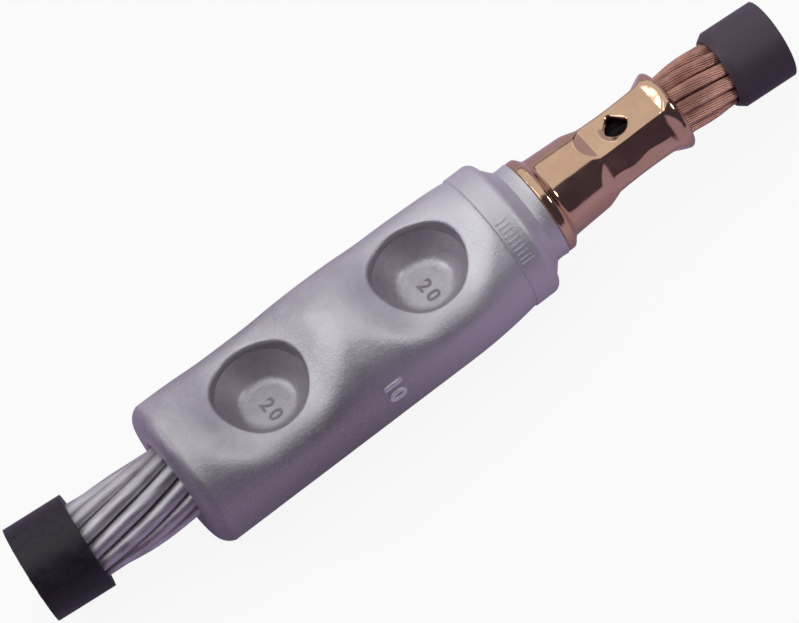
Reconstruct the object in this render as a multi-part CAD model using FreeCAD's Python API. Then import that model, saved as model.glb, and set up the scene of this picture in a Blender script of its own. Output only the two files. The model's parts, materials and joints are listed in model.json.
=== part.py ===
import FreeCAD
import Part
import math
import os
from FreeCAD import Placement, Rotation, Vector

# Bimetallic splice connector, crimped on two short cable ends. Millimetres.
# X runs along the sleeve from the aluminium cable to the copper cable, and the
# sleeve's axis is y = z = 0 while the pieces are made. The indents face +Z.
# The finished set is moved so that it stands on z = 0, centred in X and Y.

# Aluminium barrel, pressed in a round-bottomed die by a punch from above
pressed_length = 61.1        # mouth to the edge that the die left
pressed_radius = 12.8        # the die's round bottom
pressed_end_radius = 11.85   # where the die stopped, at the unpressed band
pressed_taper = 13.0         # length over which the one runs into the other
die_flat_depth = 0.16        # the narrow flat that the die's bottom left along the underside
section_step = 2.2           # spacing of the sections that the pressed body is drawn through
mouth_radius_loss = 3.3      # rounding of the mouth's outer edge, measured radially
mouth_round_length = 2.3     # and along the axis
aluminium_bore_radius = 6.75
aluminium_bore_plug = 9.05   # solid metal between the bore's bottom and the weld
bore_mouth_chamfer = 0.5

# Unpressed band, shoulder and neck
band_radius = 12.05
band_length = 5.0
band_edge_bevel = 0.15       # on the band, along the die's edge
shoulder_round = 1.5
shoulder_length = 1.8
neck_radius = 8.5
neck_waist = 0.1             # how much the neck is hollowed between its ends
neck_length = 2.15

# The two deep indents
indent_first = 18.5          # mouth to the first indent's centre
indent_last = 12.0           # the last indent's centre to the die's edge
indent_count = 2
indent_radius = 7.65         # the punch's shank
indent_floor_radius = 4.35   # the punch's flat nose
indent_floor_height = 1.4    # the floor, above the sleeve's axis
indent_shank_height = 5.4    # where the punch's cone meets its shank
indent_floor_round = 2.0     # edge between the punch's nose and its cone
indent_rim_round = 0.7
saddle_height = 7.3          # the body's top, drawn down beside a punch
saddle_flat = 2.8            # half length of its level stretch
saddle_radius = 7.0          # curve beyond that, along the sleeve
saddle_power = 6.0           # how squarely that top meets the round flanks
wall_under_indent = 2.2      # what is left between an indent's floor and the wires
squeeze_flat = 4.6           # half length of the bore's flattened stretch
squeeze_fade = 6.0           # length over which the bore opens again

# Copper barrel, friction welded on the neck and closed on its wires in a hexagonal die
collar_radius = 8.4
collar_length = 1.6
collar_round = 0.35
collar_slope_length = 1.0
copper_radius = 7.1
copper_draw = 0.5            # how much its radius lessens towards the hexagon
copper_length = 26.45        # weld to mouth
copper_bore_radius = 5.6
copper_bore_plug = 3.05      # solid copper between the weld and the bore's bottom
copper_end_round = 0.95
copper_mouth_chamfer = 0.45
hexagon_start = 11.95        # weld to the full hexagon
mouth_left_round = 0.3       # length beside the mouth that the die's lips leave alone
hexagon_half_width = 5.85    # across flats, at the ends of the hexagon
hexagon_waist = 0.18         # how much nearer the flats lie half way along
hexagon_lead_in = 3.8
hexagon_lead_out = 2.6
hexagon_lead_rise = 1.5      # how far the die's lips stand off at its ends
copper_wall_in_hexagon = 1.5

# Sight hole in the hexagon's upper flat
sight_hole_place = 5.1       # start of the full hexagon to the hole's centre
sight_hole_half_length = 2.05    # along the sleeve
sight_hole_side = 1.5        # how far the hole reaches towards -Y, where it is round
sight_hole_point = 2.35      # and towards +Y, where it is drawn out to a point
sight_hole_dish_radius = 9.0
sight_hole_dish_width = 5.8

# Cables: nineteen strands each, in rings of one, six and twelve
strand_sides = 10
strand_rings = (1, 6, 12)
aluminium_strand_diameter = 2.55
aluminium_strand_gap = 0.06
aluminium_lay = 150.0        # length of one turn; above nought is left-handed
aluminium_swell = 0.15       # how much the bare wires stand out half way to the sheath
aluminium_cable_length = 26.4
aluminium_sheath_length = 10.2
aluminium_sheath_wall = 1.65
aluminium_bend_start = 1.0   # mouth to the start of the bend
aluminium_bend_clear = 6.2   # end of the bend to the sheath
aluminium_bend_sideways = 8.0    # degrees, towards +Y
aluminium_bend_down = 3.5        # degrees

copper_strand_diameter = 2.14
copper_strand_gap = 0.05
copper_lay = -230.0
copper_swell = 0.25
copper_cable_length = 19.6
copper_sheath_length = 10.1
copper_sheath_wall = 1.25
copper_sheath_bevel_length = 1.1
copper_sheath_bevel_height = 0.75
copper_bend_start = 0.8
copper_bend_clear = 1.3
copper_bend_sideways = -2.0
copper_bend_down = 4.0

sheath_clearance = 0.06      # between the outer strands and the sheath
end_clearance = 0.3          # between the strands' inner ends and a bore's bottom
station_step = 2.4           # spacing of the sections that a strand is drawn through
crimp_step = 1.3             # and of those inside a crimped bore

band_start = pressed_length
shoulder_start = band_start + band_length
neck_start = shoulder_start + shoulder_length
weld = neck_start + neck_length
copper_mouth = weld + copper_length
indent_spacing = (pressed_length - indent_first - indent_last) / max(1, indent_count - 1)
indent_centres = [indent_first + indent_spacing * i for i in range(indent_count)]
hexagon_length = copper_length - hexagon_start - hexagon_lead_out - mouth_left_round
aluminium_bore_depth = weld - aluminium_bore_plug
copper_bore_depth = copper_length - copper_bore_plug
aluminium_bend_length = (aluminium_cable_length - aluminium_sheath_length - aluminium_bend_start
                         - aluminium_bend_clear)
copper_bend_length = copper_cable_length - copper_sheath_length - copper_bend_start - copper_bend_clear


def revolved(edges):
    """A solid of revolution about X from a closed outline in the XZ half plane."""
    face = Part.Face(Part.Wire(edges))
    return face.revolve(Vector(0, 0, 0), Vector(1, 0, 0), 360)


def outline(points):
    """Edges through points given as (x, z); a third value "arc" marks the middle of an arc."""
    edges = []
    i = 0
    while i < len(points) - 1:
        start = Vector(points[i][0], 0, points[i][1])
        through = Vector(points[i + 1][0], 0, points[i + 1][1])
        if len(points[i + 1]) == 3:
            end = Vector(points[i + 2][0], 0, points[i + 2][1])
            edges.append(Part.Arc(start, through, end).toShape())
            i += 2
        else:
            edges.append(Part.LineSegment(start, through).toShape())
            i += 1
    return edges


def quarter(x_from, r_from, x_to, r_to):
    """Middle point of a rounded edge that leaves (x_from, r_from) along the radius."""
    x_mid = x_from + (x_to - x_from) * (1 - math.sqrt(0.5))
    r_mid = r_from + (r_to - r_from) * math.sqrt(0.5)
    return (x_mid, r_mid, "arc")


def closed_curve(points):
    """A smooth closed wire through the points."""
    curve = Part.BSplineCurve()
    steps = [i / len(points) for i in range(len(points) + 1)]
    curve.interpolate(Points=points, PeriodicFlag=True, Parameters=steps)
    return Part.Wire([curve.toShape()])


def spread(start, end, step):
    """Evenly spaced values from start to end, at most one step apart."""
    count = max(2, math.ceil(abs(end - start) / step))
    return [start + (end - start) * i / count for i in range(count + 1)]


def inside_distances(bore_depth):
    """Sections of a strand inside its barrel: the bore's own, the last drawn back from the bottom."""
    depths = spread(0, bore_depth, crimp_step)
    depths[-1] -= end_clearance
    return [-depth for depth in reversed(depths)]


def pressed_section(x, points=32):
    """The pressed body's section: round, with its top drawn down beside each punch."""
    near_end = max(0.0, 1 - (pressed_length - x) / pressed_taper)
    radius = pressed_radius - (pressed_radius - pressed_end_radius) * near_end ** 2
    ring = []
    for i in range(points):
        angle = 2 * math.pi * i / points
        rise = math.cos(angle)
        pull = 0.0
        if rise > 0:
            for centre in indent_centres:
                beyond = max(0.0, abs(x - centre) - saddle_flat)
                top = saddle_height + beyond ** 2 / (2 * saddle_radius)
                pull += (radius * rise / top) ** saddle_power
        r = radius * (1 + pull) ** (-1 / saddle_power)
        ring.append(Vector(x, r * math.sin(angle), r * math.cos(angle)))
    return closed_curve(ring)


def squeeze(x, y, z):
    """Where a point of the aluminium bore or its wires lies once the punches have come down."""
    depth = 0.0
    for centre in indent_centres:
        beyond = max(0.0, abs(x - centre) - squeeze_flat)
        if beyond < squeeze_fade:
            depth = max(depth, math.cos(0.5 * math.pi * beyond / squeeze_fade) ** 2)
    across = min(1.0, abs(y) / aluminium_bore_radius)
    roof = indent_floor_height - wall_under_indent
    full = (aluminium_bore_radius - roof) / (2 * aluminium_bore_radius)
    share = full * depth * (1 - across ** 6)
    floor = -math.sqrt(max(0.0, aluminium_bore_radius ** 2 - y ** 2))
    return (y, z - share * (z - floor))


def indent_punch(centre):
    """The stepped punch: a flat nose, a cone and a round shank."""
    lean = math.atan2(indent_radius - indent_floor_radius, indent_shank_height - indent_floor_height)
    turn = 0.5 * math.pi - lean
    reach = indent_floor_round * math.tan(0.5 * turn)
    nose = indent_floor_radius - reach
    middle = (nose + indent_floor_round * math.sin(0.5 * turn),
              indent_floor_height + indent_floor_round * (1 - math.cos(0.5 * turn)), "arc")
    foot = (indent_floor_radius + reach * math.sin(lean), indent_floor_height + reach * math.cos(lean))
    top = 2 * pressed_radius
    edges = outline([(0, indent_floor_height), (nose, indent_floor_height), middle, foot,
                     (indent_radius, indent_shank_height), (indent_radius, top), (0, top),
                     (0, indent_floor_height)])
    punch = Part.Face(Part.Wire(edges)).revolve(Vector(0, 0, 0), Vector(0, 0, 1), 360)
    punch.translate(Vector(centre, 0, 0))
    return punch


def rim_edges(body):
    """The edges where the punches' shanks broke through the body's top."""
    found = []
    for edge in body.Edges:
        points = edge.discretize(5)
        for centre in indent_centres:
            off = max(abs(math.hypot(p.x - centre, p.y) - indent_radius) for p in points)
            if off < 0.02 and min(p.z for p in points) > indent_shank_height + 0.02:
                found.append(edge)
    return found


def countersink(bore_radius, chamfer, mouth, inwards):
    """A cone that bevels a bore's mouth at 45 degrees; inwards is 1 or -1 along X."""
    return Part.makeCone(bore_radius + 2 * chamfer, bore_radius - chamfer, 3 * chamfer,
                         Vector(mouth - chamfer * inwards, 0, 0), Vector(inwards, 0, 0))


def aluminium_barrel():
    sections = [pressed_section(x) for x in spread(0, pressed_length, section_step)]
    body = Part.makeLoft(sections, True, False)
    below = Part.makeBox(pressed_length + 2, 2 * pressed_radius, pressed_radius,
                         Vector(-1, -pressed_radius, die_flat_depth - 2 * pressed_radius))
    body = body.cut(below)
    rounded = mouth_round_length
    inner = pressed_radius - mouth_radius_loss
    over = 2 * pressed_radius
    corner = outline([(0, inner), quarter(0, inner, rounded, pressed_radius + 0.05),
                      (rounded, pressed_radius + 0.05), (rounded, over), (-1, over), (-1, inner), (0, inner)])
    body = body.cut(revolved(corner))
    for centre in indent_centres:
        body = body.cut(indent_punch(centre))
    body = body.makeFillet(indent_rim_round, rim_edges(body))
    end = shoulder_start
    shoulder_top = band_radius - shoulder_round
    bevel = band_edge_bevel
    stub = outline([(band_start, 0), (band_start, band_radius - bevel), (band_start + bevel, band_radius),
                    (end - shoulder_round, band_radius), (end - 0.29 * shoulder_round,
                     band_radius - 0.29 * shoulder_round, "arc"), (end, shoulder_top),
                    (neck_start, neck_radius), (0.5 * (neck_start + weld), neck_radius - neck_waist, "arc"),
                    (weld, neck_radius), (weld, 0), (band_start, 0)])
    body = body.fuse(revolved(stub))
    rings = []
    bore = aluminium_bore_radius
    for x in [-crimp_step] + spread(0, aluminium_bore_depth, crimp_step):
        ring = []
        for i in range(32):
            angle = 2 * math.pi * i / 32
            y, z = squeeze(x, bore * math.sin(angle), bore * math.cos(angle))
            ring.append(Vector(x, y, z))
        rings.append(closed_curve(ring))
    body = body.cut(Part.makeLoft(rings, True, True))
    return body.cut(countersink(bore, bore_mouth_chamfer, 0, 1))


def hexagon(x, half_width):
    """A hexagonal section with one flat facing up."""
    corner = half_width / math.cos(math.pi / 6)
    ring = []
    for i in range(7):
        angle = math.pi / 6 + i * math.pi / 3
        ring.append(Vector(x, corner * math.sin(angle), corner * math.cos(angle)))
    return Part.makePolygon(ring)


def hexagon_die():
    """The space between the closed dies: bowed flats between flared lips."""
    start = weld + hexagon_start
    end = start + hexagon_length
    middle = 0.5 * (start + end)
    lips = hexagon_half_width + hexagon_lead_rise
    first = hexagon(start, hexagon_half_width)
    last = hexagon(end, hexagon_half_width)
    waist = hexagon(middle, hexagon_half_width - hexagon_waist)
    lead_in = Part.makeLoft([hexagon(start - hexagon_lead_in, lips), first], True, True)
    flats = Part.makeLoft([first, waist, last], True, False)
    lead_out = Part.makeLoft([last, hexagon(end + hexagon_lead_out, lips)], True, True)
    wide = 2 * collar_radius
    forward = Vector(1, 0, 0)
    before = Part.makeCylinder(wide, start - hexagon_lead_in - weld + 1, Vector(weld - 1, 0, 0), forward)
    after = Part.makeCylinder(wide, copper_length, Vector(end + hexagon_lead_out, 0, 0), forward)
    return [before, lead_in, flats, lead_out, after]


def copper_squeeze(x, y, z):
    """Where a point of the copper bore or its wires lies once the hexagonal die has closed."""
    start = weld + hexagon_start
    end = start + hexagon_length
    closed = (hexagon_half_width - hexagon_waist - copper_wall_in_hexagon) / copper_bore_radius
    if x < start:
        opened = min(1.0, (start - x) / hexagon_lead_in)
    else:
        opened = min(1.0, max(0.0, x - end) / hexagon_lead_out)
    scale = closed + (1 - closed) * math.sin(0.5 * math.pi * opened) ** 2
    return (y * scale, z * scale)


def copper_barrel():
    mouth = copper_mouth
    slope_start = weld + collar_length
    barrel_start = slope_start + collar_slope_length
    r = collar_radius
    q = collar_round
    e = copper_end_round
    profile = outline([(weld, 0), (weld, r - q), quarter(weld, r - q, weld + q, r), (weld + q, r),
                       (slope_start, r), (barrel_start, copper_radius),
                       (weld + hexagon_start, copper_radius - copper_draw),
                       (mouth - hexagon_lead_out, copper_radius), (mouth - e, copper_radius),
                       (mouth - 0.29 * e, copper_radius - 0.29 * e, "arc"), (mouth, copper_radius - e),
                       (mouth, 0), (weld, 0)])
    tube = revolved(profile)
    pieces = [tube.common(part) for part in hexagon_die()]
    barrel = pieces[0].multiFuse(pieces[1:]).removeSplitter()
    rings = []
    bore = copper_bore_radius
    for x in spread(mouth - copper_bore_depth, mouth, crimp_step) + [mouth + crimp_step]:
        ring = []
        for i in range(24):
            angle = 2 * math.pi * i / 24
            y, z = copper_squeeze(x, bore * math.sin(angle), bore * math.cos(angle))
            ring.append(Vector(x, y, z))
        rings.append(closed_curve(ring))
    barrel = barrel.cut(Part.makeLoft(rings, True, True))
    barrel = barrel.cut(countersink(bore, copper_mouth_chamfer, mouth, -1))
    return sight_hole(barrel)


def sight_hole(barrel):
    """The hole in the upper flat, drawn out to a point towards +Y, in a shallow dish."""
    x = weld + hexagon_start + sight_hole_place
    flat = hexagon_half_width - hexagon_waist
    left = Vector(x - sight_hole_half_length, 0, 0)
    right = Vector(x + sight_hole_half_length, 0, 0)
    tip = Vector(x, sight_hole_point, 0)
    rim = [Part.Arc(left, Vector(x, -sight_hole_side, 0), right).toShape(),
           Part.LineSegment(right, tip).toShape(), Part.LineSegment(tip, left).toShape()]
    drill = Part.Face(Part.Wire(rim)).extrude(Vector(0, 0, copper_radius))
    half = 0.5 * sight_hole_dish_width
    sink = math.sqrt(sight_hole_dish_radius ** 2 - half ** 2)
    dish = Part.makeSphere(sight_hole_dish_radius, Vector(x, 0, flat + sink))
    return barrel.cut(drill).cut(dish)


def cable_frame(distance, start, length, sideways, down, side):
    """Where a cable's axis lies at a distance outside the mouth, and how it is turned there.

    side is -1 for the aluminium cable, which leaves towards -X, and 1 for the copper cable.
    """
    turn = math.radians(math.hypot(sideways, down))
    off = Vector(0, sideways, -down)
    off.normalize()
    radius = length / turn
    bent = min(max((distance - start) / length, 0.0), 1.0) * turn
    along = min(distance, start) + radius * math.sin(bent)
    away = radius * (1 - math.cos(bent))
    rest = max(0.0, distance - start - length)
    along += rest * math.cos(bent)
    away += rest * math.sin(bent)
    heading = Vector(side * math.cos(bent), off.y * math.sin(bent), off.z * math.sin(bent))
    mouth = 0 if side < 0 else copper_mouth
    place = Vector(mouth + side * along, off.y * away, off.z * away)
    return Placement(place, Rotation(Vector(1, 0, 0), heading * side))


def aluminium_frame(distance):
    return cable_frame(distance, aluminium_bend_start, aluminium_bend_length, aluminium_bend_sideways,
                       aluminium_bend_down, -1)


def copper_frame(distance):
    return cable_frame(distance, copper_bend_start, copper_bend_length, copper_bend_sideways,
                       copper_bend_down, 1)


def strand(ring_radius, phase, cable, distances):
    """One strand, drawn through sections set along the cable.

    A distance below nought lies inside the barrel, where the crimp has moved it.
    """
    sections = []
    lean = math.atan(2 * math.pi * ring_radius / cable["lay"])
    for distance in distances:
        placed = cable["frame"](distance)
        along = distance if cable["frame"] is copper_frame else -distance
        turn = phase + 2 * math.pi * along / cable["lay"]
        bare = min(max(distance / cable["bare_length"], 0.0), 1.0)
        swollen = ring_radius * (1 + cable["swell"] * math.sin(math.pi * bare) ** 2)
        ring = []
        for i in range(strand_sides + 1):
            angle = 2 * math.pi * (i % strand_sides) / strand_sides
            out = swollen + 0.5 * cable["diameter"] * math.cos(angle)
            across = 0.5 * cable["diameter"] * math.sin(angle) / math.cos(lean)
            y = out * math.sin(turn) + across * math.cos(turn)
            z = out * math.cos(turn) - across * math.sin(turn)
            if distance < 0:
                y, z = cable["press"](placed.Base.x, y, z)
            ring.append(placed.multVec(Vector(0, y, z)))
        sections.append(Part.makePolygon(ring))
    return Part.makeLoft(sections, True, True)


def strands(name, cable, distances):
    """The nineteen strands of a cable, by node name."""
    made = {}
    pitch = cable["diameter"] + cable["gap"]
    for ring, count in enumerate(strand_rings):
        for i in range(count):
            phase = 2 * math.pi * (i + 0.25 * ring) / count
            made[f"{name}_{len(made) + 1:02d}"] = strand(ring * pitch, phase, cable, distances)
    return made


def bundle_radius(diameter, gap):
    rings = len(strand_rings) - 1
    return rings * (diameter + gap) + 0.5 * diameter


def sheath(inner, wall, length, cable_length, frame, bevel_length=0.0, bevel_height=0.0):
    """The insulation left on the cable's outer end, with its inner end cut back or bevelled."""
    start = frame(cable_length - length)
    outer = inner + wall
    side = 1 if frame is copper_frame else -1
    points = [(0, inner), (0, outer - bevel_height)]
    if bevel_length > 0:
        points.append((bevel_length * side, outer))
    else:
        points[-1] = (0, outer)
    points += [(length * side, outer), (length * side, inner), (0, inner)]
    tube = revolved(outline(points))
    tube.Placement = start
    return tube


def make_parts():
    parts = {"aluminium_barrel": aluminium_barrel(), "copper_barrel": copper_barrel()}
    rings = len(strand_rings) - 1
    inside = inside_distances(aluminium_bore_depth)
    outside = spread(0, aluminium_cable_length, station_step)
    pitch = aluminium_strand_diameter + aluminium_strand_gap
    cable = {"diameter": aluminium_strand_diameter, "gap": aluminium_strand_gap, "lay": aluminium_lay,
             "bare_length": aluminium_cable_length - aluminium_sheath_length,
             "swell": aluminium_swell / (rings * pitch), "frame": aluminium_frame, "press": squeeze}
    parts.update(strands("aluminium_strand", cable, inside + outside[1:]))
    inside = inside_distances(copper_bore_depth)
    outside = spread(0, copper_cable_length, station_step)
    pitch = copper_strand_diameter + copper_strand_gap
    cable = {"diameter": copper_strand_diameter, "gap": copper_strand_gap, "lay": copper_lay,
             "bare_length": copper_cable_length - copper_sheath_length,
             "swell": copper_swell / (rings * pitch), "frame": copper_frame, "press": copper_squeeze}
    parts.update(strands("copper_strand", cable, inside + outside[1:]))
    inner = bundle_radius(aluminium_strand_diameter, aluminium_strand_gap) + sheath_clearance
    parts["aluminium_cable_sheath"] = sheath(
        inner, aluminium_sheath_wall, aluminium_sheath_length, aluminium_cable_length, aluminium_frame)
    inner = bundle_radius(copper_strand_diameter, copper_strand_gap) + sheath_clearance
    parts["copper_cable_sheath"] = sheath(
        inner, copper_sheath_wall, copper_sheath_length, copper_cable_length, copper_frame,
        copper_sheath_bevel_length, copper_sheath_bevel_height)
    return parts


parts = make_parts()
box = Part.makeCompound(list(parts.values())).optimalBoundingBox(False, False)
stand = Vector(-box.Center.x, -box.Center.y, -box.ZMin)
os.makedirs("parts", exist_ok=True)
for name, shape in parts.items():
    shape.translate(stand)
    shape.exportStep(f"parts/{name}.step")
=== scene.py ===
import json
import math
import bmesh
import bpy
from mathutils import Matrix, Vector, noise

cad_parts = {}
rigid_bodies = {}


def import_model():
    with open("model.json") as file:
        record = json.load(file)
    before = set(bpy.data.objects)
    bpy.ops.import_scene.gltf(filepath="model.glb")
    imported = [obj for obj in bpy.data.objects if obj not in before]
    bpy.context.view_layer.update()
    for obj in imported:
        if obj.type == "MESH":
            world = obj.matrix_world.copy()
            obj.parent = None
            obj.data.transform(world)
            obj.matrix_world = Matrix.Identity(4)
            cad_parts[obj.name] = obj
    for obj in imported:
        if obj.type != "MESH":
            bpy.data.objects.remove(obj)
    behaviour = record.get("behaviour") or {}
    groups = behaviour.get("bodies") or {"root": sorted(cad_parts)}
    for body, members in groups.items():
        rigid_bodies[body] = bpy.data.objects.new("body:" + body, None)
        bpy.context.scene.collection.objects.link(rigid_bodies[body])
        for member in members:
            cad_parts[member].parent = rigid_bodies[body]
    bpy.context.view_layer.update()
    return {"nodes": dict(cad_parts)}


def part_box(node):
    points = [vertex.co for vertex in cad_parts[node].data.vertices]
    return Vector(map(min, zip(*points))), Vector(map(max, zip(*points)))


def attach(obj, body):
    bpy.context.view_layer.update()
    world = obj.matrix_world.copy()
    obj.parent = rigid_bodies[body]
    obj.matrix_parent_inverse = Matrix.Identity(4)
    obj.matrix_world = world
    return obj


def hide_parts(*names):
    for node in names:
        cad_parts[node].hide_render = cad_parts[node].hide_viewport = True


# Looks of a bimetallic splice connector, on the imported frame. Metres, Z up; X runs along the
# sleeve from the aluminium cable to the copper cable, and the two indents face up.

for leftover in list(bpy.data.objects):
    bpy.data.objects.remove(leftover)
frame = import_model()
nodes = frame["nodes"]

MM = 0.001
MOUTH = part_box("aluminium_barrel")[0].x                 # the aluminium barrel's mouth
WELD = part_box("copper_barrel")[0].x                     # where the copper barrel begins
COPPER_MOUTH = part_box("copper_barrel")[1].x
AXIS_HEIGHT = sum(corner.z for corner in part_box("copper_barrel")) / 2

# Sizes repeated from the CAD source. A cable's lengths count from its barrel's mouth, and its bend is
# given in degrees sideways and down.
ALUMINIUM_WIRE = dict(diameter=2.55 * MM, gap=0.06 * MM, lay=150.0 * MM, inner=60.7 * MM, outer=26.4 * MM,
                      bare=16.2 * MM, swell=0.15 * MM, bend_start=1.0 * MM, bend_length=9.0 * MM,
                      sideways=8.0, down=3.5)
COPPER_WIRE = dict(diameter=2.14 * MM, gap=0.05 * MM, lay=-230.0 * MM, inner=23.1 * MM, outer=19.6 * MM,
                   bare=9.5 * MM, swell=0.25 * MM, bend_start=0.8 * MM, bend_length=7.4 * MM,
                   sideways=-2.0, down=4.0)
STRAND_RINGS = (1, 6, 12)                               # strands in each ring, from the middle out
RING_SHIFT = 0.25                                       # of a strand's step, from one ring to the next
INDENTS = (18.5 * MM, 49.1 * MM)                        # mouth to each indent's centre
INDENT_RADIUS = 7.65 * MM                               # the punch's shank
INDENT_RIM = 0.7 * MM                                   # round of the indent's rim
INDENT_NOSE = 4.35 * MM                                 # the punch's flat nose
INDENT_FLOOR = 1.4 * MM                                 # the floors, above the sleeve's axis
BORE_RADIUS = 6.75 * MM                                 # the aluminium barrel's bore
SQUEEZE_FLAT = 4.6 * MM                                 # half length of the bore's flattened stretch
SQUEEZE_FADE = 6.0 * MM                                 # length over which it opens again
SQUEEZE_POWER = 6.0                                     # how squarely its roof meets its sides
SQUEEZED_ROOF = -0.8 * MM                               # its roof, above the sleeve's axis
HEXAGON = (11.95 * MM, 23.55 * MM)                      # weld to the ends of the full hexagon
HEXAGON_LEADS = (3.8 * MM, 2.6 * MM)                    # length of the slopes at its ends
HEXAGON_CLOSED = 4.17 / 5.6                             # bore in the hexagon to bore outside it
MOUTH_ROUND = 2.3 * MM                                  # length of the aluminium mouth's outer round
PRESSED_RADIUS = 12.8 * MM
BAND_RADIUS = 12.05 * MM                                # the band that the die left alone
BAND_START = 61.1 * MM                                  # mouth to that band

# How the pieces are drawn
STATIONS = 61                                           # points along a strand
BUNCH_LAY = -75.0 * MM                                  # of the fine wires in a copper strand
CRISP_CORNER = 0.7                                      # radians; an edge that turns more stays crisp


class Field:
    """One output of a node, which Python's operators turn into Math nodes."""

    def __init__(self, graph, socket):
        self.graph = graph
        self.socket = socket

    def __add__(self, other):
        return self.graph.math("ADD", self, other)

    def __radd__(self, other):
        return self.graph.math("ADD", other, self)

    def __sub__(self, other):
        return self.graph.math("SUBTRACT", self, other)

    def __rsub__(self, other):
        return self.graph.math("SUBTRACT", other, self)

    def __mul__(self, other):
        return self.graph.math("MULTIPLY", self, other)

    def __rmul__(self, other):
        return self.graph.math("MULTIPLY", other, self)

    def __truediv__(self, other):
        return self.graph.math("DIVIDE", self, other)

    def __rtruediv__(self, other):
        return self.graph.math("DIVIDE", other, self)

    def __pow__(self, other):
        return self.graph.math("POWER", self, other)

    def __neg__(self):
        return self.graph.math("MULTIPLY", self, -1.0)


class Graph:
    """A node tree that is written as expressions."""

    def __init__(self, tree):
        self.tree = tree

    def node(self, kind, settings=None, **sockets):
        """Adds a node: its settings first, then the values or links of its sockets, _0 for the first."""
        made = self.tree.nodes.new(kind)
        for name, value in (settings or {}).items():
            setattr(made, name, value)
        for name, value in sockets.items():
            key = int(name[1:]) if name[0] == "_" else name.replace("_", " ")
            if isinstance(value, Field):
                self.tree.links.new(value.socket, made.inputs[key])
            else:
                made.inputs[key].default_value = value
        return made

    def out(self, kind, settings=None, output=0, **sockets):
        return Field(self, self.node(kind, settings, **sockets).outputs[output])

    def math(self, operation, *values):
        return self.out("ShaderNodeMath", {"operation": operation},
                        **{f"_{i}": value for i, value in enumerate(values)})

    def least(self, first, *others):
        for other in others:
            first = self.math("MINIMUM", first, other)
        return first

    def clip(self, value, low, high):
        return self.math("MINIMUM", self.math("MAXIMUM", value, low), high)

    def smooth(self, value, low, high):
        """0 below low, 1 above high, and a soft step between."""
        return self.out("ShaderNodeMapRange", {"interpolation_type": "SMOOTHSTEP"},
                        Value=value, From_Min=low, From_Max=high)

    def split(self, vector):
        made = self.node("ShaderNodeSeparateXYZ", _0=vector)
        return [Field(self, output) for output in made.outputs]

    def join(self, x, y, z):
        return self.out("ShaderNodeCombineXYZ", _0=x, _1=y, _2=z)

    def mix(self, share, first, second):
        """Colour from first to second as share goes from 0 to 1."""
        return self.out("ShaderNodeMix", {"data_type": "RGBA"}, 2, _0=share, _6=first, _7=second)

    def noise(self, place, scale, detail, roughness):
        return self.out("ShaderNodeTexNoise", Vector=place, Scale=scale, Detail=detail, Roughness=roughness)

    def stretched(self, place, scales):
        return self.out("ShaderNodeMapping", Vector=place, Scale=scales)

    def rays(self):
        """Whether the camera sees the surface itself, and whether it is seen in a mirroring one."""
        path = self.node("ShaderNodeLightPath")
        kinds = {output.name: Field(self, output) for output in path.outputs}
        mirrored = self.math("MAXIMUM", kinds["Is Glossy Ray"], kinds["Is Transmission Ray"])
        return kinds["Is Camera Ray"], mirrored


def colour(red, green, blue):
    return (red, green, blue, 1.0)


def object_place(graph):
    """Where a point lies on the object, in metres."""
    return graph.out("ShaderNodeTexCoord", output=3)


def new_material(name, **constants):
    """A material with one Principled shader; constants are set on the shader's own sockets."""
    material = bpy.data.materials.new(name)
    material.use_nodes = True
    material.node_tree.nodes.clear()
    graph = Graph(material.node_tree)
    shader = graph.node("ShaderNodeBsdfPrincipled")
    for socket, value in constants.items():
        shader.inputs[socket.replace("_", " ")].default_value = value
    output = graph.node("ShaderNodeOutputMaterial")
    graph.tree.links.new(shader.outputs[0], output.inputs[0])
    place = object_place(graph)

    def feed(**sockets):
        for socket, value in sockets.items():
            graph.tree.links.new(value.socket, shader.inputs[socket.replace("_", " ")])

    return material, graph, place, feed


def bump(graph, height, depth, strength):
    return graph.out("ShaderNodeBump", Height=height, Distance=depth, Strength=strength)


def recess_distance(g, x, y):
    """How far a point lies from the nearer punch's axis."""
    along = [x - (MOUTH + centre) for centre in INDENTS]
    return g.least(*(g.math("SQRT", off * off + y * y) for off in along))


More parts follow.
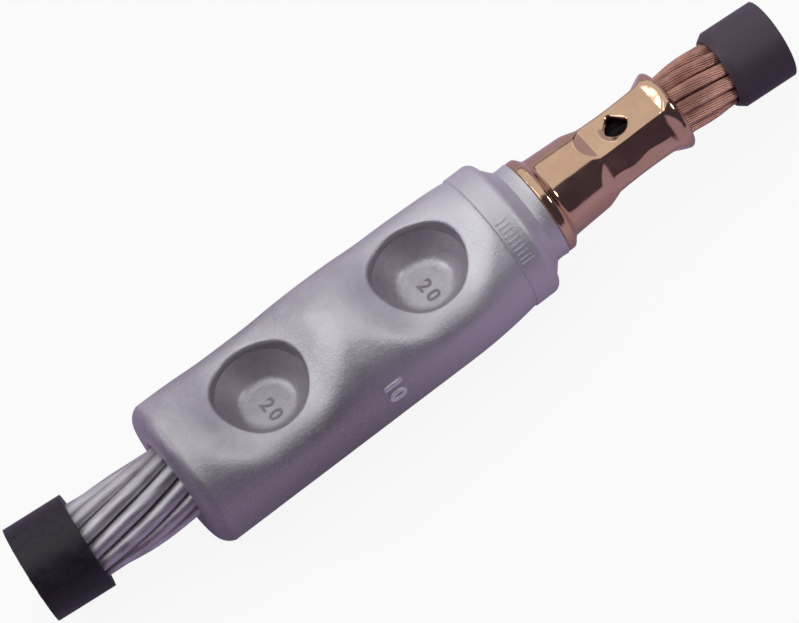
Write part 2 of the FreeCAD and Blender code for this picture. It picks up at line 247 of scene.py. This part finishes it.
def pressed_aluminium():
    """Dull aluminium: mottled and grained, cleaner towards the band, with painted shade on its sides, on
    its underside, round its mouth and on its recess walls, and grime with painted shade in its recesses."""
    material, g, place, feed = new_material("pressed_aluminium", Metallic=0.88)
    x, y, z = g.split(place)
    cloud = g.noise(place, 140.0, 4.0, 0.55)
    mottle = g.noise(place, 520.0, 3.0, 0.6)
    grain = g.noise(place, 2600.0, 2.0, 0.5)
    drag = g.noise(g.stretched(place, (120.0, 1500.0, 1500.0)), 1.0, 3.0, 0.6)
    tone = g.mix(g.smooth(cloud, 0.32, 0.7), colour(0.59, 0.57, 0.59), colour(0.73, 0.715, 0.73))
    tone = g.mix(g.smooth(mottle, 0.55, 0.8) * 0.35, tone, colour(0.84, 0.82, 0.83))
    tone = g.mix(g.smooth(drag, 0.58, 0.85) * 0.3, tone, colour(0.48, 0.45, 0.49))
    ragged = (cloud - 0.5) * MM
    # Painted shade: both sides darker than the top.
    side = g.smooth(g.math("ABSOLUTE", y) + ragged * 2.0, 8.0 * MM, 12.0 * MM)
    tone = g.mix(side * 0.62, tone, colour(0.36, 0.32, 0.355))
    # Painted shade: darker towards the underside.
    painted_underside_shade = g.smooth(AXIS_HEIGHT - z + ragged * 3.0, -7.0 * MM, 3.0 * MM)
    tone = g.mix(painted_underside_shade * 0.4, tone, colour(0.27, 0.265, 0.26))
    # Painted shade round the mouth's outer round.
    painted_mouth_shade = 1.0 - g.smooth(x - MOUTH + ragged * 0.6, MOUTH_ROUND - 1.0 * MM, MOUTH_ROUND + 0.3 * MM)
    tone = g.mix(painted_mouth_shade * 0.62, tone, colour(0.34, 0.28, 0.36))
    tone = g.mix(g.smooth(grain, 0.45, 0.75) * 0.22, tone, colour(0.92, 0.91, 0.93))
    clean = g.smooth(x, MOUTH + 0.4 * BAND_START, MOUTH + BAND_START)
    tone = g.mix(clean * 0.6, tone, colour(0.88, 0.87, 0.90))
    away = recess_distance(g, x, y)
    above = g.smooth(z - AXIS_HEIGHT, INDENT_FLOOR - 0.8 * MM, INDENT_FLOOR - 0.2 * MM)
    outside = g.smooth(away + ragged * 0.8, INDENT_RADIUS + 0.1 * MM, INDENT_RADIUS + INDENT_RIM)
    inside = above * (1.0 - outside)
    # Painted shade on the recess walls.
    painted_wall_shade = inside * g.smooth(away, INDENT_NOSE - 0.45 * MM, INDENT_RADIUS - 0.75 * MM)
    grime = g.smooth(g.noise(place, 620.0, 5.0, 0.65), 0.42, 0.72)
    # The recesses darker: partly grime, partly painted shade; the walls darker still with painted shade.
    tone = g.mix(inside * (0.25 + grime * 0.35), tone, colour(0.46, 0.41, 0.47))
    tone = g.mix(painted_wall_shade * 0.5, tone, colour(0.39, 0.33, 0.385))
    feed(Base_Color=tone,
         Roughness=g.clip(0.55 + (cloud - 0.5) * 0.20 + (grain - 0.5) * 0.12 - inside * 0.05, 0.38, 0.75),
         Normal=bump(g, grain * 1.1 + mottle + drag * 0.6 + grime * inside * 0.6, 0.00006, 0.7))
    return material


def shaded_stamp_aluminium():
    """The bottom of a stamped figure, dull and dark with painted shade."""
    material, g, place, feed = new_material("shaded_stamp_aluminium", Metallic=0.6)
    mottle = g.noise(place, 900.0, 3.0, 0.6)
    feed(Base_Color=g.mix(mottle, colour(0.26, 0.23, 0.27), colour(0.42, 0.38, 0.43)),
         Roughness=0.5 + mottle * 0.2,
         Normal=bump(g, mottle, 0.00003, 0.5))
    return material


def highlit_number_aluminium():
    """The die's raised number, paler and smoother than the metal round it; the paleness is a painted
    highlight.
    """
    material, g, place, feed = new_material("highlit_number_aluminium", Metallic=0.92)
    mottle = g.noise(place, 900.0, 3.0, 0.6)
    feed(Base_Color=g.mix(mottle, colour(0.74, 0.73, 0.77), colour(0.96, 0.95, 0.98)),
         Roughness=0.40 + mottle * 0.2,
         Normal=bump(g, mottle, 0.00002, 0.4))
    return material


def polished_copper():
    """Bright worked copper: fine polishing lines round it, a few cloudy stains and small pits."""
    material, g, place, feed = new_material("polished_copper", Metallic=1.0)
    cloud = g.noise(place, 210.0, 3.0, 0.5)
    lines = g.noise(g.stretched(place, (6000.0, 260.0, 260.0)), 1.0, 2.0, 0.5)
    pits = g.noise(place, 2400.0, 2.0, 0.5)
    wave = g.noise(place, 330.0, 1.0, 0.4)
    tone = g.mix(g.smooth(cloud, 0.35, 0.7), colour(0.68, 0.45, 0.30), colour(0.75, 0.52, 0.33))
    tone = g.mix(g.smooth(pits, 0.66, 0.8) * 0.4, tone, colour(0.36, 0.21, 0.15))
    feed(Base_Color=tone,
         Roughness=g.clip(0.12 + (cloud - 0.5) * 0.14 + (lines - 0.5) * 0.08, 0.07, 0.3),
         Normal=bump(g, lines * 0.4 + cloud * 3.0 + wave * 6.0, 0.00002, 0.35))
    return material


def drawn_aluminium():
    """Drawn wire: fine lines along it and a thin dull film."""
    material, g, place, feed = new_material("drawn_aluminium", Metallic=0.92)
    streaks = g.noise(g.stretched(place, (70.0, 1400.0, 1400.0)), 1.0, 3.0, 0.6)
    film = g.noise(place, 260.0, 3.0, 0.5)
    tone = g.mix(g.smooth(streaks, 0.3, 0.75), colour(0.52, 0.48, 0.52), colour(0.80, 0.78, 0.80))
    tone = g.mix(g.smooth(film, 0.40, 0.75) * 0.35, tone, colour(0.46, 0.41, 0.46))
    feed(Base_Color=tone,
         Roughness=g.clip(0.50 + (streaks - 0.5) * 0.3, 0.34, 0.68),
         Normal=bump(g, streaks, 0.00002, 0.4))
    return material


def drawn_copper():
    """Fine copper wires, browned in places, and darkened inside the barrel with painted shade."""
    material, g, place, feed = new_material("drawn_copper", Metallic=0.85)
    stain = g.noise(place, 330.0, 4.0, 0.6)
    streaks = g.noise(g.stretched(place, (90.0, 1800.0, 1800.0)), 1.0, 3.0, 0.6)
    tone = g.mix(g.smooth(stain, 0.3, 0.7), colour(0.52, 0.28, 0.22), colour(0.80, 0.47, 0.36))
    tone = g.mix(g.smooth(streaks, 0.55, 0.8) * 0.4, tone, colour(0.86, 0.58, 0.47))
    # Painted shade on the wires inside the barrel.
    painted_shade_in_barrel = 1.0 - g.smooth(g.split(place)[0], COPPER_MOUTH - 2.5 * MM, COPPER_MOUTH - 0.6 * MM)
    tone = g.mix(painted_shade_in_barrel, tone, colour(0.030, 0.022, 0.026))
    feed(Base_Color=tone,
         Roughness=g.clip(0.42 + (stain - 0.5) * 0.3 + painted_shade_in_barrel * 0.2, 0.28, 0.7),
         Normal=bump(g, streaks, 0.00003, 0.5))
    return material


def black_insulation():
    """Black cable insulation: a satin skin with fine drag lines, scuffed paler in places, and greyer on
    the copper cable than on the aluminium one."""
    material, g, place, feed = new_material("black_insulation", Metallic=0.0, Specular_IOR_Level=0.4)
    skin = g.noise(place, 700.0, 3.0, 0.55)
    drag = g.noise(g.stretched(place, (90.0, 1100.0, 1100.0)), 1.0, 3.0, 0.6)
    tone = g.mix(g.smooth(skin, 0.4, 0.75), colour(0.020, 0.013, 0.022), colour(0.036, 0.024, 0.039))
    tone = g.mix(g.smooth(drag, 0.62, 0.85) * 0.5, tone, colour(0.075, 0.060, 0.080))
    on_copper_cable = g.smooth(g.split(place)[0], 0.0, COPPER_MOUTH)
    tone = g.mix(on_copper_cable * 0.7, tone, colour(0.125, 0.094, 0.122))
    feed(Base_Color=tone,
         Roughness=g.clip(0.48 + (skin - 0.5) * 0.3 + (drag - 0.5) * 0.2, 0.32, 0.75),
         Normal=bump(g, skin * 0.7 + drag, 0.00005, 0.5))
    return material


ALUMINIUM = pressed_aluminium()
STAMP_IN_PAINTED_SHADE = shaded_stamp_aluminium()
NUMBER_HIGHLIGHT = highlit_number_aluminium()
COPPER = polished_copper()
ALUMINIUM_WIRES = drawn_aluminium()
COPPER_WIRES = drawn_copper()
INSULATION = black_insulation()


def paint(thing, material):
    thing.data.materials.clear()
    thing.data.materials.append(material)


paint(nodes["aluminium_barrel"], ALUMINIUM)
paint(nodes["aluminium_cable_sheath"], INSULATION)
paint(nodes["copper_cable_sheath"], INSULATION)


def add_to_scene(name, data):
    made = bpy.data.objects.new(name, data)
    bpy.context.scene.collection.objects.link(made)
    return made


def plain_mesh(holder, name):
    """The holder's evaluated shape as a plain mesh object of its own; the holder goes."""
    bpy.context.view_layer.update()
    evaluated = holder.evaluated_get(bpy.context.evaluated_depsgraph_get())
    mesh = bpy.data.meshes.new_from_object(evaluated)
    bpy.data.objects.remove(holder)
    mesh.name = name
    return add_to_scene(name, mesh)


def grown(tree, name, inputs):
    """Runs a Geometry Nodes tree with the given named inputs and keeps its result."""
    holder = add_to_scene(name + "_holder", bpy.data.meshes.new(name + "_holder"))
    modifier = holder.modifiers.new("nodes", "NODES")
    modifier.node_group = tree
    for item in tree.interface.items_tree:
        if item.name in inputs:
            modifier[item.identifier] = inputs[item.name]
    holder.update_tag()
    return plain_mesh(holder, name)


def new_tree(name, sizes, counts):
    """A Geometry Nodes tree with the given inputs, lengths or angles first and then whole numbers."""
    tree = bpy.data.node_groups.new(name, "GeometryNodeTree")
    tree.interface.new_socket("Geometry", in_out="OUTPUT", socket_type="NodeSocketGeometry")
    for label in sizes:
        tree.interface.new_socket(label, in_out="INPUT", socket_type="NodeSocketFloat")
    for label in counts:
        tree.interface.new_socket(label, in_out="INPUT", socket_type="NodeSocketInt")
    graph = Graph(tree)
    inputs = graph.node("NodeGroupInput")
    values = {output.name: Field(graph, output) for output in inputs.outputs if output.name}
    return tree, graph, values


def finish_tree(g, geometry, material):
    """Soft shading with crisp corners, then real geometry with its material."""
    corner = g.out("GeometryNodeInputMeshEdgeAngle")
    sharp = g.math("GREATER_THAN", corner, CRISP_CORNER)
    kept = g.out("GeometryNodeStoreNamedAttribute", {"data_type": "BOOLEAN", "domain": "EDGE"},
                 Geometry=g.out("GeometryNodeSetShadeSmooth", Geometry=geometry),
                 Name="sharp_edge", Value=sharp)
    real = g.out("GeometryNodeRealizeInstances", Geometry=kept)
    made = g.out("GeometryNodeSetMaterial", Geometry=real, Material=material)
    output = g.node("NodeGroupOutput")
    g.tree.links.new(made.socket, output.inputs[0])


def squeezed_aluminium(g, x, y, z):
    """Where the punches have pressed a point of the aluminium wires; x counts from the mouth."""
    beyond = g.least(*(g.math("ABSOLUTE", x - centre) for centre in INDENTS))
    fade = g.clip((beyond - SQUEEZE_FLAT) / SQUEEZE_FADE, 0.0, 1.0)
    depth = g.math("COSINE", fade * (math.pi / 2)) ** 2.0
    across = g.math("MINIMUM", g.math("ABSOLUTE", y) / BORE_RADIUS, 1.0)
    full = (BORE_RADIUS - SQUEEZED_ROOF) / (2 * BORE_RADIUS)
    share = depth * (1.0 - across ** SQUEEZE_POWER) * full
    floor = -g.math("SQRT", g.math("MAXIMUM", BORE_RADIUS ** 2 - y * y, 0.0))
    return y, z - share * (z - floor)


def squeezed_copper(g, x, y, z):
    """Where the hexagonal die has closed on a point of the copper wires; x counts from the mouth."""
    from_weld = x + (COPPER_MOUTH - WELD)
    before = (HEXAGON[0] - from_weld) / HEXAGON_LEADS[0]
    after = (from_weld - HEXAGON[1]) / HEXAGON_LEADS[1]
    opened = g.clip(g.math("MAXIMUM", before, after), 0.0, 1.0)
    scale = HEXAGON_CLOSED + g.math("SINE", opened * (math.pi / 2)) ** 2.0 * (1.0 - HEXAGON_CLOSED)
    return y * scale, z * scale


def wire_tree(name, cable, side, squeezed, material, sides):
    """A strand of a stranded cable: one round wire, or a bunch of fine ones round a core.

    It is drawn as a helix along X, pressed as its barrel is, and bent with its cable outside.
    """
    tree, g, size = new_tree(name, ("Ring radius", "Phase", "Wire radius", "Bunch radius", "Bunch lay",
                                    "Lay", "Inner end", "Outer end"), ("Wires", "Stations"))
    start = g.join(size["Inner end"] * -side, 0.0, 0.0)
    end = g.join(size["Outer end"] * side, 0.0, 0.0)
    line = g.out("GeometryNodeCurvePrimitiveLine", Start=start, End=end)
    line = g.out("GeometryNodeResampleCurve", Curve=line, Count=size["Stations"])
    copies = g.node("GeometryNodeDuplicateElements", {"domain": "SPLINE"}, Geometry=line,
                    Amount=size["Wires"])
    copy = Field(g, copies.outputs[1])
    x = g.split(g.out("GeometryNodeInputPosition"))[0]
    bare = g.clip(x * (side / cable["bare"]), 0.0, 1.0)
    swell = cable["swell"] / (2 * (cable["diameter"] + cable["gap"]))
    ring = size["Ring radius"] * (1.0 + g.math("SINE", bare * math.pi) ** 2.0 * swell)
    turn = size["Phase"] + x / size["Lay"] * math.tau
    fine = turn + copy / size["Wires"] * math.tau + x / size["Bunch lay"] * math.tau
    helix = g.join(x,
                   g.math("SINE", turn) * ring + g.math("SINE", fine) * size["Bunch radius"],
                   g.math("COSINE", turn) * ring + g.math("COSINE", fine) * size["Bunch radius"])
    wound = g.out("GeometryNodeSetPosition", Geometry=Field(g, copies.outputs[0]), Position=helix)
    section = g.out("GeometryNodeCurvePrimitiveCircle", {"mode": "RADIUS"}, Resolution=sides,
                    Radius=size["Wire radius"])
    tube = g.out("GeometryNodeCurveToMesh", Curve=wound, Profile_Curve=section, Fill_Caps=True)

    x, y, z = g.split(g.out("GeometryNodeInputPosition"))
    pressed_y, pressed_z = squeezed(g, x, y, z)
    away = x * side
    bend = math.radians(math.hypot(cable["sideways"], cable["down"]))
    off = Vector((0.0, cable["sideways"], -cable["down"])).normalized()
    radius = cable["bend_length"] / bend
    bent = g.clip((away - cable["bend_start"]) / cable["bend_length"], 0.0, 1.0) * bend
    rest = g.math("MAXIMUM", away - (cable["bend_start"] + cable["bend_length"]), 0.0)
    sine = g.math("SINE", bent)
    cosine = g.math("COSINE", bent)
    along = g.math("MINIMUM", away, cable["bend_start"]) + sine * radius + rest * cosine
    aside = (1.0 - cosine) * radius + rest * sine
    lean = (pressed_y * off.y + pressed_z * off.z) * side
    outside = g.join(along * side - lean * sine,
                     aside * off.y + pressed_y - lean * (1.0 - cosine) * (off.y * side),
                     aside * off.z + pressed_z - lean * (1.0 - cosine) * (off.z * side))
    mouth = MOUTH if side < 0 else COPPER_MOUTH
    shifted = g.out("ShaderNodeVectorMath", {"operation": "ADD"}, _0=outside, _1=(mouth, 0.0, AXIS_HEIGHT))
    bent_tube = g.out("GeometryNodeSetPosition", Geometry=tube, Position=shifted)
    finish_tree(g, bent_tube, material)
    return tree


def wires(name, tree, cable, fine_wires, wire_radius, bunch_radius, core_radius):
    """The nineteen strands of a cable, each in place of its CAD node; a core radius of 0 means no core."""
    number = 0
    for ring, count in enumerate(STRAND_RINGS):
        for i in range(count):
            number += 1
            ring_radius = ring * (cable["diameter"] + cable["gap"])
            inputs = {"Ring radius": ring_radius, "Phase": math.tau * (i + RING_SHIFT * ring) / count,
                      "Wire radius": wire_radius, "Bunch radius": bunch_radius, "Bunch lay": BUNCH_LAY,
                      "Lay": cable["lay"], "Inner end": cable["inner"], "Outer end": cable["outer"],
                      "Wires": fine_wires, "Stations": STATIONS}
            strand = grown(tree, f"{name}_{number:02d}_wire", inputs)
            if core_radius:
                core = grown(tree, "core", {**inputs, "Wire radius": core_radius, "Bunch radius": 0.0,
                                            "Wires": 1})
                join_into(strand, core)
            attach(strand, "root")
            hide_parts(f"{name}_{number:02d}")


def join_into(kept, *others):
    """Adds the others' meshes to the kept object's mesh."""
    built = bmesh.new()
    for thing in (kept, *others):
        built.from_mesh(thing.data)
    built.to_mesh(kept.data)
    built.free()
    for thing in others:
        bpy.data.objects.remove(thing)


aluminium_tree = wire_tree("aluminium_wire", ALUMINIUM_WIRE, -1, squeezed_aluminium, ALUMINIUM_WIRES,
                           sides=20)
copper_tree = wire_tree("copper_bunch", COPPER_WIRE, 1, squeezed_copper, COPPER_WIRES, sides=8)
wires("aluminium_strand", aluminium_tree, ALUMINIUM_WIRE, fine_wires=1,
      wire_radius=0.5 * ALUMINIUM_WIRE["diameter"], bunch_radius=0.0, core_radius=0.0)
wires("copper_strand", copper_tree, COPPER_WIRE, fine_wires=16,
      wire_radius=0.17 * MM, bunch_radius=0.90 * MM, core_radius=0.85 * MM)


def softened(node, name, material, voxel, rounds):
    """A copy of a CAD node whose sharp edges are worn soft: welded, remeshed and smoothed in rounds."""
    mesh = nodes[node].data.copy()
    built = bmesh.new()
    built.from_mesh(mesh)
    bmesh.ops.remove_doubles(built, verts=built.verts, dist=0.002 * MM)
    built.to_mesh(mesh)
    built.free()
    holder = add_to_scene(name + "_holder", mesh)
    remesh = holder.modifiers.new("remesh", "REMESH")
    remesh.mode = "VOXEL"
    remesh.voxel_size = voxel
    remesh.use_smooth_shade = True
    smooth = holder.modifiers.new("smooth", "SMOOTH")
    smooth.factor = 0.5
    smooth.iterations = rounds
    made = plain_mesh(holder, name)
    made.data.shade_smooth()
    paint(made, material)
    return made


def soft_step(value, low, high):
    """The same step as Graph.smooth, for a number."""
    share = min(1.0, max(0.0, (value - low) / (high - low)))
    return share * share * (3.0 - 2.0 * share)


def let_flats_fall(piece, slope, crease, ripple):
    """Below a wavy crease the hexagon's two side flats fall back, towards where the die's halves met.

    The crease lies at its distance below a flat's middle, and the ripple is how far it wanders.
    """
    start, end = (WELD + along for along in HEXAGON)
    tilt = math.radians(30.0)                           # a side flat's normal, above the horizontal
    skin = (4.4 * MM, 5.0 * MM)                         # along it, between the bore and the flat
    waves_per_metre = 330.0
    for vertex in piece.data.vertices:
        x, y, z = vertex.co
        side = math.copysign(1.0, y)
        normal = Vector((0.0, side * math.cos(tilt), math.sin(tilt)))
        out = side * y * math.cos(tilt) + (z - AXIS_HEIGHT) * math.sin(tilt)
        down = side * y * math.sin(tilt) - (z - AXIS_HEIGHT) * math.cos(tilt)
        wander = ripple * noise.noise(vertex.co * waves_per_metre)
        share = (soft_step(x, start - 0.2 * MM, start + 0.5 * MM)
                 * (1.0 - soft_step(x, end - 0.6 * MM, end + 0.2 * MM))
                 * soft_step(out, *skin))
        vertex.co -= normal * (slope * share * max(0.0, down - crease + wander))


copper_body = softened("copper_barrel", "copper_barrel_worn", COPPER, voxel=0.18 * MM, rounds=24)
let_flats_fall(copper_body, slope=0.08, crease=0.9 * MM, ripple=0.5 * MM)
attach(copper_body, "root")
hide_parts("copper_barrel")


def on_flank(along, turn, lift):
    """A point at a distance from the mouth, a turn from straight up towards -Y and a lift off the axis."""
    return Vector((MOUTH + along, -lift * math.sin(turn), AXIS_HEIGHT + lift * math.cos(turn)))


def figure(text, name, height, depth, rounding):
    """A figure as solid lettering in its own plane, centred on its box, letter tops towards +Y.

    The rounding of its edges is a share of the letters' size. Its thickness is scaled to the depth.
    """
    stroke_growth = 0.02
    curve = bpy.data.curves.new(name, "FONT")
    curve.body = text
    curve.size = 1.0
    curve.extrude = 0.05
    curve.bevel_depth = rounding
    curve.bevel_resolution = 2
    curve.offset = stroke_growth - 0.5 * rounding
    curve.resolution_u = 4
    made = plain_mesh(add_to_scene(name + "_holder", curve), name)
    points = [vertex.co for vertex in made.data.vertices]
    low = Vector((min(p.x for p in points), min(p.y for p in points), 0.0))
    high = Vector((max(p.x for p in points), max(p.y for p in points), 0.0))
    scale = height / (high.y - low.y)
    flatten = depth / max(p.z for p in points)
    for vertex in made.data.vertices:
        centred = (vertex.co - (low + high) / 2) * scale
        vertex.co = Vector((centred.x, centred.y, vertex.co.z * flatten))
    return made


def finish_marks(made, material):
    """Welds a set of small marks on the barrel, turns their faces outwards and lets them ride."""
    built = bmesh.new()
    built.from_mesh(made.data)
    bmesh.ops.remove_doubles(built, verts=built.verts, dist=0.0005 * MM)
    bmesh.ops.recalc_face_normals(built, faces=built.faces)
    built.to_mesh(made.data)
    built.free()
    paint(made, material)
    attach(made, "root")


def finish_figures(name, figures, material):
    """Joins the figures to one piece of that name."""
    made, *others = figures
    join_into(made, *others)
    made.name = name
    finish_marks(made, material)


def recess_figures():
    """A plain number on each recess's floor, left by the punch, drawn as thin raised strokes dark with
    painted shade; it reads from the mouth's side.
    """
    height, depth, step = 2.4 * MM, 0.10 * MM, 2.3 * MM
    first = Vector((-0.1 * MM, 0.2 * MM, 0.0))          # the first figure's centre, from the recess's
    figures = []
    for centre in INDENTS:
        for i, digit in enumerate("20"):
            glyph = figure(digit, "recess_figure", height, depth, rounding=0.0)
            middle = Vector((MOUTH + centre, -step * i, AXIS_HEIGHT + INDENT_FLOOR)) + first
            for vertex in glyph.data.vertices:
                sideways, upwards, out = vertex.co
                vertex.co = middle + Vector((upwards, -sideways, out))
            figures.append(glyph)
    # Their dark strokes are painted shade, standing in for the stamp's grooves.
    finish_figures("recess_figures", figures, STAMP_IN_PAINTED_SHADE)


def flank_figures():
    """The die's number, raised on the side between the two recesses."""
    along, depth, rounding = 34.6 * MM, 0.38 * MM, 0.06
    sunk = 0.02 * MM                                    # below the surface, so that no gap shows
    figures = []
    for digit, turn, height in (("1", 71.0, 3.4 * MM), ("0", 81.5, 3.2 * MM)):
        glyph = figure(digit, "flank_figure", height, depth, rounding)
        for vertex in glyph.data.vertices:
            sideways, upwards, out = vertex.co
            swing = math.radians(turn) + sideways / PRESSED_RADIUS
            vertex.co = on_flank(along + upwards, swing, PRESSED_RADIUS + out - sunk)
        figures.append(glyph)
    # The number's paler tone is a painted highlight.
    finish_figures("flank_figures", figures, NUMBER_HIGHLIGHT)


def band_ticks():
    """Short raised ticks along the band beside the die's edge, the last one bold."""
    tree, g, size = new_tree("band_ticks", ("Start", "Step", "Radius", "Length", "Width", "Height",
                                            "Along"), ("Count",))
    line = g.out("GeometryNodeMeshLine", Count=size["Count"])
    index = g.out("GeometryNodeInputIndex")
    turn = size["Start"] + index * size["Step"]
    last = g.math("GREATER_THAN", index, size["Count"] - 1.5)
    place = g.join(size["Along"], g.math("SINE", turn) * size["Radius"] * -1.0,
                   g.math("COSINE", turn) * size["Radius"] + AXIS_HEIGHT)
    spots = g.out("GeometryNodeSetPosition", Geometry=line, Position=place)
    block = g.out("GeometryNodeMeshCube", Vertices_X=2, Vertices_Y=2, Vertices_Z=2,
                  Size=g.join(size["Length"], size["Width"], size["Height"]))
    bold = g.join(1.0 + last * 0.1, 1.0 + last * 0.8, 1.0 + last * 0.5)
    set_out = g.out("GeometryNodeInstanceOnPoints", Points=spots, Instance=block,
                    Rotation=g.join(turn, 0.0, 0.0), Scale=bold)
    finish_tree(g, set_out, ALUMINIUM)
    made = grown(tree, "band_ticks", {
        "Start": math.radians(22.9), "Step": math.radians(4.04), "Radius": BAND_RADIUS,
        "Length": 2.1 * MM, "Width": 0.30 * MM, "Height": 0.26 * MM,
        "Along": MOUTH + BAND_START + 1.6 * MM, "Count": 10})
    bevel = bmesh.new()
    bevel.from_mesh(made.data)
    bmesh.ops.bevel(bevel, geom=bevel.edges[:], offset=0.05 * MM, segments=2, affect="EDGES")
    bevel.to_mesh(made.data)
    bevel.free()
    finish_marks(made, ALUMINIUM)


recess_figures()
flank_figures()
band_ticks()


# Floor, lamps and camera
def build_stage():
    """A white floor. The metal mirrors it in pale violet near the object, and darker farther off."""
    reach = 3.0
    mesh = bpy.data.meshes.new("floor")
    mesh.from_pydata([(-reach, -reach, 0), (reach, -reach, 0), (reach, reach, 0), (-reach, reach, 0)],
                     [], [(0, 1, 2, 3)])
    floor = add_to_scene("floor", mesh)
    material = bpy.data.materials.new("pale_floor")
    material.use_nodes = True
    material.node_tree.nodes.clear()
    g = Graph(material.node_tree)
    seen, mirrored = g.rays()
    x, y = g.split(object_place(g))[:2]
    near = (1.0 - g.smooth(-y, 0.14, 0.24)) * (1.0 - 0.6 * g.smooth(-x, 0.12, 0.22))
    tone = g.mix(mirrored * near, colour(0.24, 0.175, 0.27), colour(0.64, 0.53, 0.72))
    tone = g.mix(seen, tone, colour(0.98, 0.98, 0.98))
    matt = g.out("ShaderNodeBsdfDiffuse", Color=tone)
    glow = g.mix(seen, colour(0.78, 0.62, 0.92), colour(1.0, 1.0, 1.0))
    glowing = g.out("ShaderNodeEmission", Color=glow, Strength=1.0)
    share = seen * 0.90 + mirrored * near * 0.08
    mixed = g.out("ShaderNodeMixShader", _0=share, _1=matt, _2=glowing)
    output = g.node("ShaderNodeOutputMaterial")
    g.tree.links.new(mixed.socket, output.inputs[0])
    paint(floor, material)


def lamp(name, place, target, width, depth, power, tint=(1.0, 1.0, 1.0)):
    """A rectangular lamp at a place, turned towards its target, which the camera doesn't see."""
    data = bpy.data.lights.new(name, "AREA")
    data.shape = "RECTANGLE"
    data.size = width
    data.size_y = depth
    data.energy = power
    data.color = tint
    made = add_to_scene(name, data)
    made.location = place
    made.rotation_euler = (Vector(target) - Vector(place)).to_track_quat("-Z", "Y").to_euler()
    made.visible_camera = False


def build_light():
    """A wide softbox overhead and behind, two violet cards beyond it, three small lamps, a dim room."""
    middle = (0.0, 0.0, 0.0)
    violet = (0.92, 0.86, 1.0)
    lamp("overhead_softbox", (-0.11, 0.66, 0.62), (-0.11, 0.66, 0.0), 1.26, 1.68, 4.7)
    lamp("far_card", (0.0, 1.75, 0.30), (0.0, 0.0, 0.10), 3.0, 0.6, 2.3, violet)
    lamp("right_card", (1.05, 0.62, 0.62), middle, 1.3, 0.9, 1.7, violet)
    lamp("left_lamp", (-0.60, 0.40, 0.50), middle, 0.16, 0.16, 0.75, (0.93, 0.95, 1.0))
    lamp("near_lamp", (-0.27, -0.02, 0.60), middle, 0.36, 0.22, 0.37, (0.95, 0.96, 1.0))
    lamp("right_lamp", (0.41, -0.29, 0.48), middle, 0.12, 0.12, 0.6)
    world = bpy.data.worlds.new("studio")
    world.use_nodes = True
    world.node_tree.nodes.clear()
    g = Graph(world.node_tree)
    seen, mirrored = g.rays()
    pale = g.math("MAXIMUM", seen, mirrored * 0.015)
    tone = g.mix(pale, colour(0.052, 0.037, 0.068), colour(0.90, 0.90, 0.91))
    sky = g.out("ShaderNodeBackground", Color=tone, Strength=1.0)
    output = g.node("ShaderNodeOutputWorld")
    g.tree.links.new(sky.socket, output.inputs[0])
    bpy.context.scene.world = world


def build_camera():
    """Looks down at 59 degrees from the front, turned a little towards the aluminium end, and rolled."""
    turn, height, roll = math.radians(7.5), math.radians(59.0), math.radians(37.09)
    distance = 1.0
    sensor = 36.0
    picture_scale = 6.4825                              # pixels to a millimetre at the sleeve's axis
    picture_width, picture_height = 799.0, 623.0
    target = Vector((MOUTH + 44.54 * MM, 0.0, AXIS_HEIGHT))
    target_x, target_y = 404.99, 307.71                 # the pixel that shows the target
    back = Vector((-math.sin(turn), -math.cos(turn) * math.cos(height), math.cos(turn) * math.sin(height)))
    right = Vector((0.0, math.sin(height), math.cos(height))).cross(back).normalized()
    up = back.cross(right)
    side = right * math.cos(roll) - up * math.sin(roll)
    top = right * math.sin(roll) + up * math.cos(roll)
    shift = side * (picture_width / 2 - target_x) + top * (target_y - picture_height / 2)
    data = bpy.data.cameras.new("camera")
    data.sensor_width = sensor
    data.lens = picture_scale * sensor * (distance / MM) / picture_width
    data.clip_start = 0.01
    data.clip_end = 20.0
    camera = add_to_scene("camera", data)
    pose = Matrix((side, top, back)).transposed().to_4x4()
    pose.translation = target + shift * (MM / picture_scale) + back * distance
    camera.matrix_world = pose
    bpy.context.scene.camera = camera


build_stage()
build_light()
build_camera()
bpy.context.scene.view_settings.view_transform = "Standard"
